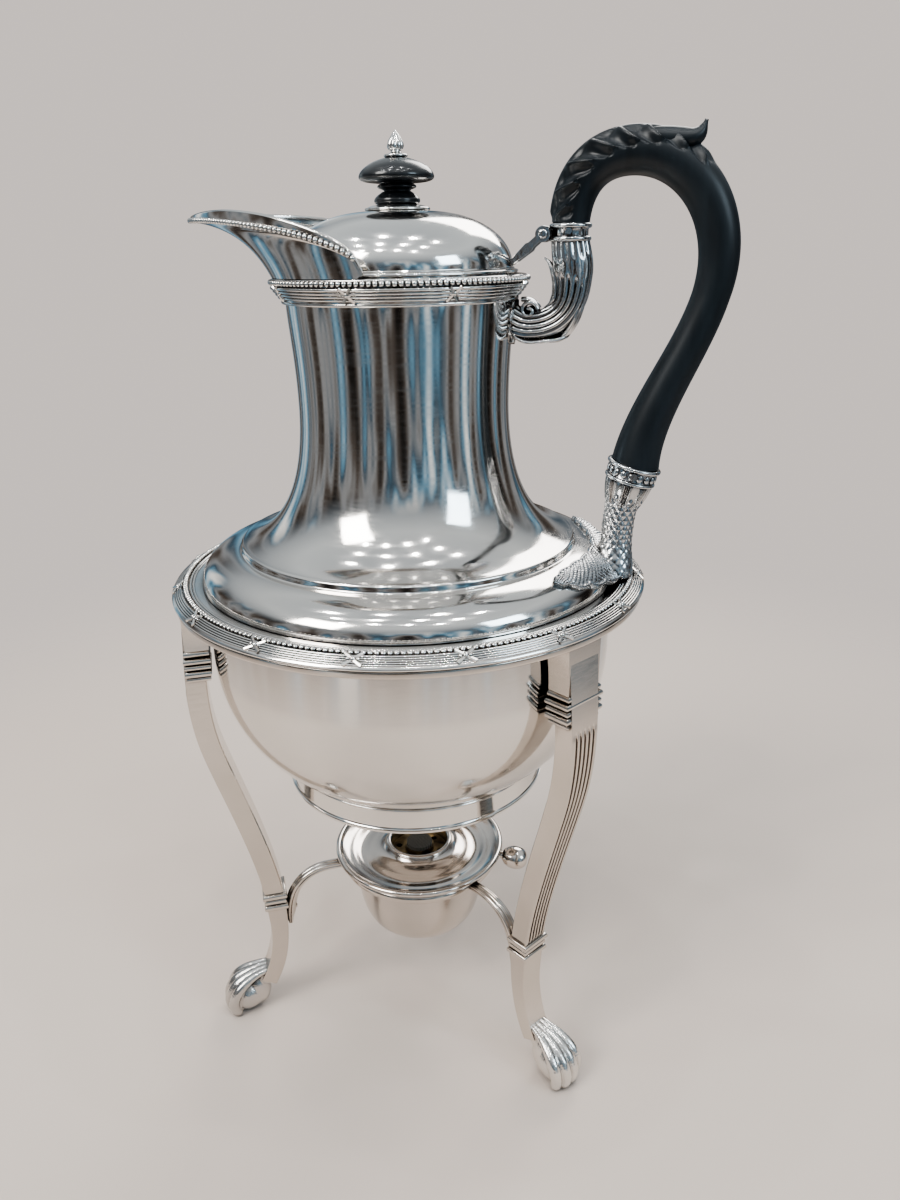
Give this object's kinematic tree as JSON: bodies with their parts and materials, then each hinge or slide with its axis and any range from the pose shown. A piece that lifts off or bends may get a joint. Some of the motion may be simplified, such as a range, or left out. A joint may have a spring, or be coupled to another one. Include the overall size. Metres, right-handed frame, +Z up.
{
  "type": "coffee jug on lamp stand",
  "caption": "Silver coffee jug with a pouring lip, hinged domed lid and black wood handle, lifting out of a three-legged stand with a spirit lamp.",
  "frame": {"origin": "on the jug's axis, in the plane of the paws' soles that the stand rests on", "axes": "+Z up along the jug's axis, +X towards the handle, -X towards the pouring lip"},
  "size_m": [0.1808, 0.1612, 0.3148],
  "materials": {
    "jug_silver": "polished",
    "lid_silver": "polished",
    "stand_silver": "polished",
    "lamp_silver": "polished",
    "border_silver": "polished, darkened in the hollows",
    "socket_silver": "cast and chased, polished",
    "burner_brass": "dull",
    "wick_cotton": "woven",
    "ebony": "satin",
    "polished_ebony": "gloss"
  },
  "bodies": {
    "stand": {"stand_ring": "stand_silver", "leg_left": "stand_silver", "leg_right": "stand_silver", "leg_rear": "stand_silver", "strut_left": "stand_silver", "strut_right": "stand_silver", "strut_rear": "stand_silver", "lamp_ring": "stand_silver", "strut_rivets": "stand_silver"},
    "lamp": {"lamp_cup": "lamp_silver", "lamp_pan": "lamp_silver", "lamp_collar": "lamp_silver", "burner_plate": "burner_brass", "wick_tube": "burner_brass", "wick": "wick_cotton", "lamp_knob": "lamp_silver"},
    "jug": {"jug_bowl": "jug_silver", "jug_shoulder": "jug_silver", "foot_ring": "jug_silver", "girdle": "border_silver", "girdle_beading": "border_silver", "neck_band": "border_silver", "neck_beading": "border_silver", "spout": "jug_silver", "spout_beading": "border_silver", "upper_socket": "socket_silver", "lower_socket": "socket_silver", "hinge_lug": "socket_silver", "handle_grip": "ebony", "handle_pins": "socket_silver"},
    "lid": {"lid_dome": "lid_silver", "lid_bezel": "lid_silver", "lid_strap": "socket_silver", "hinge_pin": "socket_silver", "finial_plate": "lid_silver", "finial_knob": "polished_ebony", "finial_bud": "lid_silver", "finial_screw": "burner_brass"}
  },
  "joints": [
    {"name": "jug_lift", "type": "slide", "parent": "stand", "child": "jug", "axis": [0, 0, 1], "range_m": [0, 0.12]},
    {"name": "lid_hinge", "type": "hinge", "parent": "jug", "child": "lid", "pos_m": [0.0446, 0, 0.2855], "axis": [0, 1, 0], "range_deg": [0, 80]},
    {"name": "lamp_lift", "type": "slide", "parent": "stand", "child": "lamp", "axis": [0, 0, 1], "range_m": [0, 0.03]}
  ]
}
